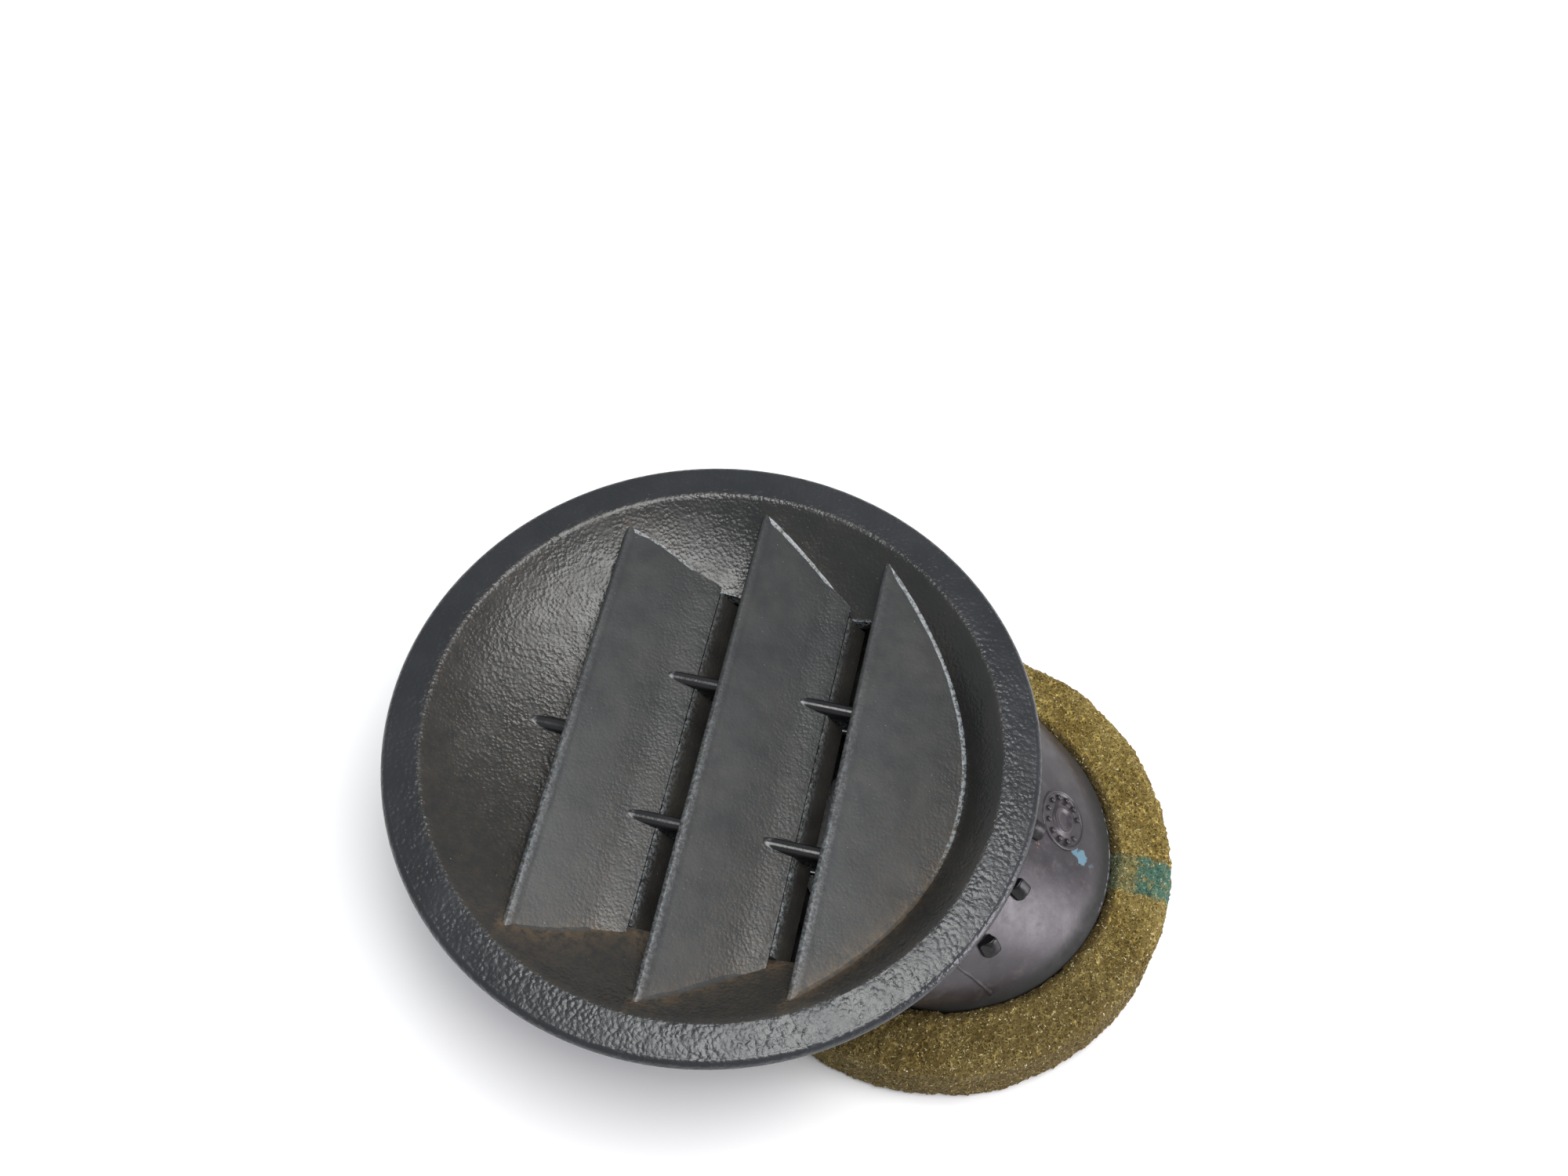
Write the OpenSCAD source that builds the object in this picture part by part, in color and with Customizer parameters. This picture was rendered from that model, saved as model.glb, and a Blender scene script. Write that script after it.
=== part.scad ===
// Round air outlet with three fixed louvres, an oblique duct and a foam seal.
// Millimetres. +Z is the outward normal of the face, the louvres run along Y
// and the duct leans towards +X as it goes down. The origin is the centre of
// the bounding box on the plane that the foam seal stands on. The modules are
// drawn about the axis of the face, with Z = 0 at the seat of the flange.

/* [Flange] */
// Outer radius of the flange
flange_r = 35; // [34:0.5:38]
// Height of the crest between bezel and dish above the seat
crest_z = 2.15; // [1.8:0.05:2.6]
// Thickness at the outer edge of the flange
edge_t = 1.8; // [1.5:0.1:2.2]

/* [Dish] */
// Wall of the dish, measured downwards
dish_t = 1.5; // [1.2:0.1:1.8]
// Half length of the slots along Y
slot_y = 20.4; // [19:0.2:21]

/* [Louvres] */
// X of the front edge of the first louvre
louvre_x = -16; // [-16.5:0.1:-15.5]
// Spacing between the front edges
pitch = 14.85; // [14.5:0.05:15.2]
// Vertical thickness of a louvre
louvre_t = 1.4; // [1.2:0.1:1.6]
// Length of a louvre face along X
louvre_l = 11.9; // [11.5:0.1:12.2]
// Thickness of a stiffening rib
rib_t = 1.4; // [1.2:0.05:1.6]
// Distance of the paired ribs from the middle plane
rib_y = 8.5; // [7.5:0.1:9.5]

/* [Duct] */
// Offset of the duct mouth from the axis of the face
mouth_x = 25.7; // [25:0.1:26.5]
// Radius of the bore through the collar
bore_r = 16; // [15.5:0.1:16.4]
// Outer radius of the collar
collar_r = 19; // [18.8:0.1:19.4]

/* [Seal] */
// Radial thickness of the foam
foam_w = 6.8; // [6:0.1:7.5]
// Height of the foam
foam_h = 8.6; // [8:0.1:9]

/* [Hidden] */
eps = 0.01;
crest_r = 30.85;
inner_r = 29.6;
band_r = flange_r - 1.05;
foam_top = -13.1;
shoulder_z = -13.3;
shoulder_r = 17;
collar_top = -11;
foam_bottom = foam_top - foam_h;
collar_bottom = foam_bottom + 0.7;
neck_r = 30.6;
neck_top = -0.4;
plug_r = 29;
slope_1 = 0.364;
slope_2 = 0.38;
slope_3 = 0.27;
// From the seat's centre to the middle of the footprint, on the ground plane.
base = [-(mouth_x + collar_r + foam_w - flange_r) / 2, 0, -foam_bottom];
edge_z = [1.0, 1.15, 1.2];
slopes = [slope_1, slope_2, slope_3];
lengths = [louvre_l, louvre_l, 16];

// Bowl of the dish: radius and centre shift of its level circles by depth.
function bowl_r(d) = 30.6 - 1.15 * d - 0.07 * d * d;
function bowl_c(d) = 0.16 * d * d;
function front_x(i) = louvre_x + pitch * i;
function face_z(i, x) = edge_z[i] - slopes[i] * (x - front_x(i));
function under_z(i, x) = face_z(i, x) - louvre_t;
function foot_x(i) = front_x(i) + lengths[i];
function arc_pts(cx, cy, r, a0, a1, n) =
  [for (k = [0:n]) [cx + r * cos(a0 + (a1 - a0) * k / n), cy + r * sin(a0 + (a1 - a0) * k / n)]];

// ---- face -----------------------------------------------------------------
// Textured bezel: slopes gently outwards from the crest.
module bezel_ring() {
  color("#3a3c3f")
    translate(base)
    rotate_extrude($fn = 180)
      polygon(concat(
        [[inner_r, 0], [band_r, 0], [band_r, edge_t - 0.12]],
        [[33, edge_t + 0.1], [32, edge_t + 0.25]],
        arc_pts(crest_r, crest_z - 0.5, 0.5, 75, 140, 5),
        [[29.95, crest_z - 0.75], [inner_r, crest_z - 1.15]]
      ));
}

// Smooth rounded band round the outside of the bezel.
module rim_edge() {
  color("#2c2e30")
    translate(base)
    rotate_extrude($fn = 180)
      polygon(concat(
        [for (k = [0:5]) [33.4 + (flange_r - 33.4) * cos(70 - 14 * k), 0.95 - 0.95 * sin(70 - 14 * k)]],
        arc_pts(flange_r - 0.9, edge_t - 0.9, 0.9, 10, 88, 6),
        [[band_r, edge_t - 0.12], [band_r, 0.06]]
      ));
}

module bowl(drop, grow) {
  hull()
    for (k = [0:12])
      translate([bowl_c(k / 2), 0, crest_z - k / 2 - drop - eps])
        cylinder(r = bowl_r(k / 2) + grow, h = eps, $fn = 96);
}

module aperture() {
  intersection() {
    translate([0, 0, -10]) cylinder(r = 25.5, h = 14, $fn = 96);
    translate([louvre_x + 0.2, -slot_y, -10]) cube([50, 2 * slot_y, 14]);
  }
}

// Sloping bowl that runs from the crest down to the slots.
module dish() {
  color("#45474a")
    translate(base)
    difference() {
      intersection() {
        bowl(dish_t, 0.2);
        translate([0, 0, -12]) cylinder(r = inner_r, h = 12 + crest_z - 1.15, $fn = 180);
      }
      bowl(0, 0);
      aperture();
    }
}

// ---- louvres --------------------------------------------------------------
module louvre_2d(i) {
  x0 = front_x(i);
  x1 = foot_x(i);
  polygon(concat(
    [[x1, face_z(i, x1)], [x1, under_z(i, x1)]],
    [[x0 + 0.5, under_z(i, x0 + 0.5)], [x0 + 0.12, under_z(i, x0) + 0.25]],
    arc_pts(x0 + 0.45, edge_z[i] - 0.55, 0.45, 180, 75, 5)
  ));
}

module louvre(i) {
  intersection() {
    translate([0, 30, 0]) rotate([90, 0, 0]) linear_extrude(height = 60) louvre_2d(i);
    bowl(0, 0);
  }
}

module louvre_1() { color("#4a4c4f") translate(base) louvre(0); }
module louvre_2() { color("#505356") translate(base) louvre(1); }
module louvre_3() { color("#56595c") translate(base) louvre(2); }

// Down-turned foot that sends the air along the face of the louvre.
module foot_2d(i) {
  x1 = foot_x(i);
  z1 = face_z(i, x1);
  polygon([
    [x1, z1 + 0.12], [x1 + 0.35, z1 + 0.1], [x1 + 0.5, z1 - 0.35],
    [x1 + 1.5, z1 - 2.3], [x1 + 0.3, z1 - 2.3], [x1, z1 - 1.6]
  ]);
}

module foot(i) {
  translate([0, slot_y - 0.1, 0])
    rotate([90, 0, 0])
      linear_extrude(height = 2 * slot_y - 0.2) foot_2d(i);
}

module louvre_1_foot() { color("#3c3e41") translate(base) foot(0); }
module louvre_2_foot() { color("#3c3e41") translate(base) foot(1); }

// ---- stiffening ribs ------------------------------------------------------
// A rib stands in the slot between louvre i and louvre i + 1.
module rib_2d(i) {
  tip = foot_x(i) - 2.8;
  top = face_z(i, tip);
  bx = foot_x(i);
  difference() {
    polygon([
      [tip, top], [tip + 0.6, top + 0.12], [bx + 8.6, top + 0.12], [bx + 11, -4.6],
      [bx + 6.5, -5.7], [bx + 1.2, -5.7], [bx - 0.4, top - 1.9]
    ]);
    louvre_2d(i);
    foot_2d(i);
    polygon([
      [front_x(i + 1) - 0.1, 4], [front_x(i + 1) - 0.1, under_z(i + 1, front_x(i + 1) - 0.1)],
      [bx + 14, under_z(i + 1, bx + 14)], [bx + 14, 4]
    ]);
    polygon([[bx - 6, -9], [bx - 6, under_z(i, bx - 6)], [bx, under_z(i, bx)],
      [bx, face_z(i, bx) - 1.6], [bx + 0.3, face_z(i, bx) - 2.3], [bx + 0.3, -9]]);
  }
}

module rib(i, y) {
  translate([0, y + rib_t / 2, 0]) rotate([90, 0, 0]) linear_extrude(height = rib_t) rib_2d(i);
}

// The first rib stands between the dish and the first louvre.
module rib_1() {
  color("#34363a")
    translate(base)
    translate([0, rib_t / 2, 0])
      rotate([90, 0, 0])
        linear_extrude(height = rib_t)
          polygon([
            [-20.35, -2.46], [-20.2, -2.42], [-10.2, -2.42], [-7, under_z(0, -7)],
            [-10, -5.6], [-15.78, -5.6], [-15.78, -3.74], [-17.1, -3.4], [-18.6, -2.99],
            [-20, -2.57]
          ]);
}

module rib_2_upper() { color("#34363a") translate(base) rib(0, rib_y); }
module rib_2_lower() { color("#34363a") translate(base) rib(0, -rib_y); }
module rib_3_upper() { color("#34363a") translate(base) rib(1, rib_y); }
module rib_3_lower() { color("#34363a") translate(base) rib(1, -rib_y); }

// ---- duct -----------------------------------------------------------------
// Plug of the face that enters the neck of the duct.
module spigot_ring() {
  color("#2f3134")
    translate(base)
    difference() {
      translate([0, 0, -3.6]) cylinder(r = plug_r, h = 3.6, $fn = 180);
      translate([0, 0, -5]) cylinder(r = plug_r - 1.2, h = 7, $fn = 180);
      bowl(dish_t, 0.2);
    }
}

module barrel_outer(grow) {
  hull() {
    translate([0, 0, -2.5]) cylinder(r = neck_r + grow, h = 2.5 + neck_top, $fn = 128);
    translate([-3, 0, -11]) cylinder(r = 25 + grow, h = 3, $fn = 128);
    translate([mouth_x, 0, -13.2]) cylinder(r = 17 + grow, h = 2.2, $fn = 128);
  }
}

module barrel_inner() {
  hull() {
    translate([0, 0, -2]) cylinder(r = plug_r, h = 1, $fn = 128);
    translate([-3, 0, -9.6]) cylinder(r = 23.6, h = 2, $fn = 128);
    translate([mouth_x, 0, -11.86]) cylinder(r = bore_r, h = eps, $fn = 128);
  }
}

// Rounded shoulder from the collar's wall at t = 0 up to the duct's skin at t = 1.
function shoulder(t) = [
  collar_r * (1 - t) * (1 - t) + 2 * collar_r * t * (1 - t) + shoulder_r * t * t,
  shoulder_z * (1 - t) * (1 - t) + 2 * (collar_top - 1.74) * t * (1 - t) + collar_top * t * t
];

// Half section of the solid inside the collar's outer skin.
module collar_skin_2d() {
  polygon(concat(
    [[0, -26], [collar_r, -26], [collar_r, shoulder_z]],
    [for (k = [1:8]) shoulder(k / 8)],
    [[0, collar_top]]
  ));
}

// Smooth oblique shell between the neck and the collar.
module duct_barrel() {
  color("#26242a")
    translate(base)
    difference() {
      barrel_outer(0);
      barrel_inner();
      translate([0, 0, -2]) cylinder(r = plug_r, h = 4, $fn = 180);
      translate([mouth_x, 0, 0]) rotate_extrude($fn = 180) collar_skin_2d();
    }
}

// Round mouth with a rounded shoulder; carries the seal.
module duct_collar() {
  color("#2b2930")
    translate(base)
    translate([mouth_x, 0, 0])
      rotate_extrude($fn = 180)
        difference() {
          collar_skin_2d();
          translate([0, -30]) square([bore_r, 40]);
          translate([0, -30]) square([30, 30 + collar_bottom]);
        }
}

// A blunt tooth with a ramp on its -Y side.
module tooth() {
  hull() {
    translate([-0.95, -0.95, -1.2]) cube([1.9, 1.9, 1.5]);
    translate([-0.95, -0.2, -1.2]) cube([1.9, 1.15, 2.3]);
  }
}

// Three small square teeth on the outside of the duct, below the flange.
module snap_teeth() {
  color("#1c1b1f")
    translate(base)
    difference() {
      for (a = [-0.3, -11.6, -22.6])
        rotate([0, 0, a])
          translate([35, 0, -4.45])
            rotate([0, 41, 0]) tooth();
      barrel_outer(0);
    }
}

// Round moulding insert mark: a plain ring with a plain centre.
module date_stamp() {
  color("#302e35")
    translate(base)
    difference() {
      translate([38.5, 2.8, -7.2])
        rotate([0, 41.5, 5])
          rotate_extrude($fn = 48)
            polygon([[0, -1], [3.3, -1], [3.3, 0.22], [2.75, 0.22], [2.75, 0.05],
              [1.45, 0.05], [1.45, 0.2], [0, 0.2]]);
      barrel_outer(0);
    }
}

// Raised parting line left by the mould along one side of the duct.
module parting_bead() {
  color("#3a3740")
    translate(base)
    difference() {
      intersection() {
        barrel_outer(0.18);
        translate([20, -16.7, -11]) cube([20, 0.4, 10]);
      }
      barrel_outer(0);
      translate([mouth_x, 0, 0]) rotate_extrude($fn = 180) collar_skin_2d();
    }
}

// ---- seal -----------------------------------------------------------------
// Open-cell foam ring round the collar; the object rests on its lower face.
module foam_seal() {
  color("#9a8a3c")
    translate(base)
    translate([mouth_x, 0, foam_bottom])
      difference() {
        cylinder(r = collar_r + foam_w, h = foam_h, $fn = 180);
        translate([0, 0, -1]) cylinder(r = collar_r, h = foam_h + 2, $fn = 180);
      }
}

bezel_ring();
rim_edge();
dish();
louvre_1();
louvre_2();
louvre_3();
louvre_1_foot();
louvre_2_foot();
rib_1();
rib_2_upper();
rib_2_lower();
rib_3_upper();
rib_3_lower();
spigot_ring();
duct_barrel();
duct_collar();
snap_teeth();
date_stamp();
parting_bead();
foam_seal();
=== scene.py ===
"""Round louvred air outlet with an oblique duct and an open-cell foam seal.

Millimetre values are drawn about the axis of the face, with z = 0 at the seat
of the flange, and are placed by the frame's own boxes.
"""

import math

import bmesh
import bpy
from mathutils import Matrix, Vector, noise
from mathutils.bvhtree import BVHTree


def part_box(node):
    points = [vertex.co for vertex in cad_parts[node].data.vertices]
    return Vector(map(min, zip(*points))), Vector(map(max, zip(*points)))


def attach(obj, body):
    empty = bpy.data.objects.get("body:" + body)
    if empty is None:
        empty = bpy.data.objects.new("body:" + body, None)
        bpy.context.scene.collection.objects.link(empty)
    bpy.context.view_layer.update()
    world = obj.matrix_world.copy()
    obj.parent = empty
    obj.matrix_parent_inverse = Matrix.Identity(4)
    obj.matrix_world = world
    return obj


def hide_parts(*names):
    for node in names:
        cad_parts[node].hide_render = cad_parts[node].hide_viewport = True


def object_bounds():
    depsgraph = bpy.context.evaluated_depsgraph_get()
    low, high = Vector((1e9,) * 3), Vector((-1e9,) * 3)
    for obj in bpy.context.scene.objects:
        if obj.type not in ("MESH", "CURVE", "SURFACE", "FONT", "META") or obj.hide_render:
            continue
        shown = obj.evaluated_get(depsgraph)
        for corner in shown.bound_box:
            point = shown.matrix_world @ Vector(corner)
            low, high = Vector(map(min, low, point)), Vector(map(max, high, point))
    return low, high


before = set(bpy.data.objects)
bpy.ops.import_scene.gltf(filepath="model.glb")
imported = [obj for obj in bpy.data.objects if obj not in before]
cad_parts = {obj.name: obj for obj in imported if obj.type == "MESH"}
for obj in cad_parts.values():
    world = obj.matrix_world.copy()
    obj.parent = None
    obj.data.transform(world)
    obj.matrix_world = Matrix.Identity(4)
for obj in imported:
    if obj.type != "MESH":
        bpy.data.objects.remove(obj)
cad_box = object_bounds()

MM = 0.001

# ---- driving sizes, in millimetres ------------------------------------------
CREST_Z = 2.15  # the crest between bezel and bowl, before it is rounded over
CREST_R = 30.85
CREST_LIFT = 0.10  # gives back part of the height that the rounding takes off
CREST_SOFT = 0.17
BEZEL_FALL = 0.12  # slope of the bezel just outside the crest
SEAM_R = 30.95  # bezel and bowl meet on the crest
BOWL_R = 30.6  # radius of the bowl at the crest
BOWL_TAPER = 1.15  # how much smaller that gets with each millimetre of depth
BOWL_DEEPEST = 7.0
HALVINGS = 40  # steps of each search by halving
DISH_RIM_R = 29.6
DISH_T = 1.5
BAND_R = 33.95  # bezel and rim meet
BEZEL_LAP = 0.2  # how far the bezel's skin laps over the rim
EDGE_T = 1.8
RIM_ROUND = 0.9
RIM_UNDER_R = 33.4  # centre of the rim's lower rounding
RIM_UNDER_Z = 0.95
SLOT_Y = 20.4  # half length of the slots
SLOT_X = -15.8  # left end of the opening in the dish
SLOT_R = 25.5  # its round right end
LOUVRE_X = -16.0  # front edge of the first louvre
PITCH = 14.85
LOUVRE_T = 1.4
EDGE_Z = (1.0, 1.15, 1.2)  # height of each louvre's front edge
SLOPES = (0.364, 0.38, 0.27)
LENGTHS = (11.9, 11.9, 16.0)
LAST = 2  # the louvre that runs into the bowl and has no foot
FOOT_DROP = 2.3
CURL = 4.2  # length over which a louvre's face curls up towards its foot
SLOT_FLOOR = -5.6  # where a rib that stands in a slot ends
RIB_T = 1.6
RIB_Y = 8.5
RIB_1_TIP = -20.2
RIB_1_TOP = -2.42
NECK_R = 30.6
NECK_TOP = -0.4
BARREL_WALL = 1.2
COLLAR_TOP = -11.0
SHOULDER_R = 17.0
SHOULDER_Z = -13.3
SHOULDER_PULL = 1.74  # how far below the collar's top the shoulder's curve is pulled
BORE_R = 16.0
TOOTH_R = 35.1  # distance of the teeth from the face's axis
TOOTH_TOP = 1.1
TOOTH_ANGLES = (-0.3, -11.6, -22.6)
STAMP_XY = (38.3, 3.1)
STAMP_R = 3.35
DOT_RING_R = 2.45
DOT_R = 0.36
BEAD_Y = -16.5
BEAD_X = (27.0, 33.9)
FLOOR_HALF_M = 1.6

# ---- where the frame puts them ----------------------------------------------
rim_lo, rim_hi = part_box("rim_edge")
foam_lo, foam_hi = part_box("foam_seal")
seat_lo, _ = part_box("bezel_ring")
FACE = Vector(((rim_lo.x + rim_hi.x) / 2, 0, seat_lo.z))
FLANGE_R = (rim_hi.x - rim_lo.x) / 2 / MM
MOUTH_X = ((foam_lo.x + foam_hi.x) / 2 - FACE.x) / MM
FOAM_R = (foam_hi.x - foam_lo.x) / 2 / MM
FOAM_TOP = (foam_hi.z - FACE.z) / MM
FOAM_BOTTOM = (foam_lo.z - FACE.z) / MM
COLLAR_R = (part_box("duct_collar")[1].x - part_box("duct_collar")[0].x) / 2 / MM
COLLAR_BOTTOM = (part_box("duct_collar")[0].z - FACE.z) / MM


def place(x, y, z):
    """Millimetres about the face's axis to metres in the frame."""
    return FACE + Vector((x, y, z)) * MM


def mix(a, b, t):
    return a + (b - a) * t


def smooth_step(a, b, x):
    t = min(1.0, max(0.0, (x - a) / (b - a)))
    return t * t * (3 - 2 * t)


# ---- shape rules shared with the CAD ----------------------------------------
def bowl_r(d):
    return BOWL_R - BOWL_TAPER * d - 0.07 * d * d


def bowl_c(d):
    return 0.16 * d * d


def bowl_depth(x, y):
    """Depth of the bowl below the crest at a plan point; negative outside it."""
    if math.hypot(x, y) > bowl_r(0):
        return (bowl_r(0) - math.hypot(x, y)) / BOWL_TAPER
    low, high = 0.0, BOWL_DEEPEST
    for _ in range(HALVINGS):
        mid = (low + high) / 2
        if math.hypot(x - bowl_c(mid), y) < bowl_r(mid):
            low = mid
        else:
            high = mid
    return low


def soft_max(a, b, soft):
    return (a + b) / 2 + math.sqrt(((a - b) / 2) ** 2 + soft * soft)


def crest_z(x, y):
    """Height of the face's skin: the bezel's slope rounded over into the bowl."""
    out = math.hypot(x, y) - CREST_R
    bezel_drop = BEZEL_FALL * out + 0.01 * max(0.0, out) ** 2
    return CREST_Z + CREST_LIFT - soft_max(bowl_depth(x, y), bezel_drop, CREST_SOFT)


def front_x(i):
    return LOUVRE_X + PITCH * i


def foot_x(i):
    return front_x(i) + LENGTHS[i]


def face_z(i, x):
    return EDGE_Z[i] - SLOPES[i] * (x - front_x(i))


def under_z(i, x):
    return face_z(i, x) - LOUVRE_T


# ---- mesh helpers -----------------------------------------------------------
def grid_faces(rows, columns, close_rows=False, close_columns=False):
    faces = []
    for r in range(rows if close_rows else rows - 1):
        for c in range(columns if close_columns else columns - 1):
            r2, c2 = (r + 1) % rows, (c + 1) % columns
            faces.append((r * columns + c, r * columns + c2, r2 * columns + c2, r2 * columns + c))
    return faces


def build(name, points, faces, material, sharp, replaces, masks=None):
    """A named piece from points in metres, riding on the one body.

    Edges bent by more than `sharp` degrees stay sharp. A mask is one number a
    point, which the material reads by name.
    """
    mesh = bpy.data.meshes.new(name)
    mesh.from_pydata([tuple(p) for p in points], [], faces)
    mesh.validate()
    mesh.materials.append(material)
    for key, values in (masks or {}).items():
        layer = mesh.attributes.new(key, "FLOAT", "POINT")
        layer.data.foreach_set("value", values)
    obj = bpy.data.objects.new(name, mesh)
    bpy.context.scene.collection.objects.link(obj)
    recalculate(mesh)
    mesh.shade_smooth()
    mesh.set_sharp_from_angle(angle=math.radians(sharp))
    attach(obj, "root")
    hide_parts(*replaces)
    return obj


def recalculate(mesh):
    """Turn every face outwards."""
    bm = bmesh.new()
    bm.from_mesh(mesh)
    bmesh.ops.recalc_face_normals(bm, faces=bm.faces)
    bm.to_mesh(mesh)
    bm.free()


def arc(cx, cz, r, start, end, steps):
    """Points of an arc in a section plane, angles in degrees."""
    out = []
    for k in range(steps + 1):
        a = math.radians(mix(start, end, k / steps))
        out.append((cx + r * math.cos(a), cz + r * math.sin(a)))
    return out


def lathe(name, section, material, replaces):
    """A closed ring about the face's axis from a section of (radius, height) points."""
    turns = 360
    points = []
    for k in range(turns):
        a = 2 * math.pi * k / turns
        points += [place(r * math.cos(a), r * math.sin(a), z) for r, z in section]
    faces = grid_faces(turns, len(section), True, True)
    return build(name, points, faces, material, sharp=50, replaces=replaces)


# ---- material helpers -------------------------------------------------------
class Nodes:
    """A short way to write a material's node tree."""

    def __init__(self, name):
        self.material = bpy.data.materials.new(name)
        self.material.use_nodes = True
        self.tree = self.material.node_tree
        self.shader = self.tree.nodes["Principled BSDF"]
        self.coords = self.add("ShaderNodeTexCoord").outputs["Object"]

    def add(self, kind, **settings):
        node = self.tree.nodes.new(kind)
        for key, value in settings.items():
            setattr(node, key, value)
        return node

    def link(self, source, target):
        """Feed a socket from another one, or set it to a plain value."""
        if hasattr(source, "is_linked"):
            self.tree.links.new(source, target)
        else:
            target.default_value = source

    def noise(self, size_mm, detail=2.0, rough=0.5, coords=None):
        n = self.add("ShaderNodeTexNoise")
        self.link(coords or self.coords, n.inputs["Vector"])
        n.inputs["Scale"].default_value = 1 / (size_mm * MM)
        n.inputs["Detail"].default_value = detail
        n.inputs["Roughness"].default_value = rough
        return n.outputs["Fac"]

    def cells(self, size_mm, feature="F1", coords=None, smooth=None):
        n = self.add("ShaderNodeTexVoronoi", feature=feature)
        self.link(coords or self.coords, n.inputs["Vector"])
        n.inputs["Scale"].default_value = 1 / (size_mm * MM)
        if smooth is not None:
            n.inputs["Smoothness"].default_value = smooth
        return n.outputs["Distance"]

    def ramp(self, source, *stops):
        """Grey ramp between two stops of (position, value)."""
        n = self.add("ShaderNodeValToRGB")
        for element, (at, grey) in zip(n.color_ramp.elements, stops):
            element.position = at
            element.color = (grey, grey, grey, 1)
        self.link(source, n.inputs["Fac"])
        return n.outputs["Color"]

    def mix(self, factor, a, b):
        n = self.add("ShaderNodeMix", data_type="RGBA")
        self.link(factor, n.inputs[0])
        for value, socket in ((a, n.inputs[6]), (b, n.inputs[7])):
            self.link((*value, 1) if isinstance(value, tuple) else value, socket)
        return n.outputs[2]

    def math(self, operation, a, b=0.0, clamp=False):
        n = self.add("ShaderNodeMath", operation=operation, use_clamp=clamp)
        self.link(a, n.inputs[0])
        self.link(b, n.inputs[1])
        return n.outputs[0]

    def span(self, source, low, high, to_low=0.0, to_high=1.0):
        """Smooth step of the source from one range to another."""
        n = self.add("ShaderNodeMapRange", interpolation_type="SMOOTHSTEP")
        self.link(source, n.inputs["Value"])
        for key, value in (("From Min", low), ("From Max", high), ("To Min", to_low), ("To Max", to_high)):
            n.inputs[key].default_value = value
        return n.outputs["Result"]

    def mask(self, key):
        """A mask that build() stored on the mesh; zero where there is none."""
        return self.add("ShaderNodeAttribute", attribute_name=key).outputs["Fac"]

    def near(self, point):
        """Distance in metres from a point of the frame."""
        n = self.add("ShaderNodeVectorMath", operation="DISTANCE")
        self.link(self.coords, n.inputs[0])
        n.inputs[1].default_value = point
        return n.outputs["Value"]

    def bump(self, height, depth_mm, strength=1.0, below=None):
        n = self.add("ShaderNodeBump")
        n.inputs["Strength"].default_value = strength
        n.inputs["Distance"].default_value = depth_mm * MM
        self.link(height, n.inputs["Height"])
        if below is not None:
            self.link(below, n.inputs["Normal"])
        return n.outputs["Normal"]

    def finish(self, colour, rough, normal, specular=0.5):
        self.link(colour, self.shader.inputs["Base Color"])
        self.link(rough, self.shader.inputs["Roughness"])
        self.link(normal, self.shader.inputs["Normal"])
        self.shader.inputs["Specular IOR Level"].default_value = specular
        return self.material


def wander(n, size_mm, reach_mm):
    """Coordinates bent by noise, so that cells lose their regular look."""
    drift = n.add("ShaderNodeTexNoise")
    n.link(n.coords, drift.inputs["Vector"])
    drift.inputs["Scale"].default_value = 1 / (size_mm * MM)
    spread = n.add("ShaderNodeVectorMath", operation="SCALE")
    n.link(drift.outputs["Color"], spread.inputs[0])
    spread.inputs["Scale"].default_value = reach_mm * MM
    total = n.add("ShaderNodeVectorMath", operation="ADD")
    n.link(n.coords, total.inputs[0])
    n.link(spread.outputs[0], total.inputs[1])
    return total.outputs[0]


def grained_plastic(name, dark, pale, grain_mm, depth_mm, rough, specks, dust=0.0, coarse=False):
    """Charcoal moulded plastic with a leather grain, pale specks and a painted highlight on edges.

    dust adds a faint film, and brown dirt where the dust mask says so; coarse
    lets the coarse mask set how strong the grain is.
    """
    n = Nodes(name)
    pebbles = n.cells(grain_mm, "SMOOTH_F1", wander(n, 1.6 * grain_mm, 0.9 * grain_mm), smooth=0.35)
    fine = n.noise(grain_mm * 0.4, 3, 0.6)
    patchy = n.span(n.noise(4 * grain_mm, 2), 0.3, 0.65, 0.45, 1.0)
    height = n.math("ADD", n.math("MULTIPLY", n.math("MULTIPLY", pebbles, -1.0), patchy),
                    n.math("MULTIPLY", fine, 0.3))
    grain = n.bump(height, depth_mm)
    if coarse:
        strength = n.math("ADD", n.math("MULTIPLY", n.mask("coarse"), 0.75), 0.25)
        n.link(strength, grain.node.inputs["Strength"])
    normal = n.bump(n.noise(9, 2), 0.2, 0.5, below=grain)
    tone = n.span(n.noise(14, 3, 0.6), 0.3, 0.7)
    colour = n.mix(tone, dark, pale)
    film = n.math("MULTIPLY", n.span(n.noise(6, 5, 0.65), 0.40, 0.72), dust, clamp=True)
    colour = n.mix(film, colour, (0.115, 0.105, 0.085))
    if dust:
        settled = n.math("MULTIPLY", n.mask("dust"), n.span(n.noise(1.1, 5, 0.75), 0.30, 0.68), clamp=True)
        colour = n.mix(n.math("MULTIPLY", settled, 0.60), colour, (0.130, 0.085, 0.042))
    bits = n.ramp(n.noise(0.32, 2, 0.7), (0.73, 0.0), (0.77, 1.0))
    colour = n.mix(n.math("MULTIPLY", bits, specks), colour, (0.42, 0.40, 0.36))
    # painted highlight: pale bluish colour on edges and joints that catch the light
    painted_highlight = n.math("MULTIPLY", n.mask("painted_highlight"), n.span(n.noise(0.42, 3, 0.8), 0.42, 0.64), clamp=True)
    colour = n.mix(n.math("MULTIPLY", painted_highlight, 0.7), colour, (0.27, 0.30, 0.32))
    roughness = n.math("ADD", n.span(n.noise(3.5, 4, 0.65), 0.3, 0.7, rough - 0.05, rough + 0.07),
                       n.math("MULTIPLY", film, 0.25))
    return n.finish(colour, roughness, normal)


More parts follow.
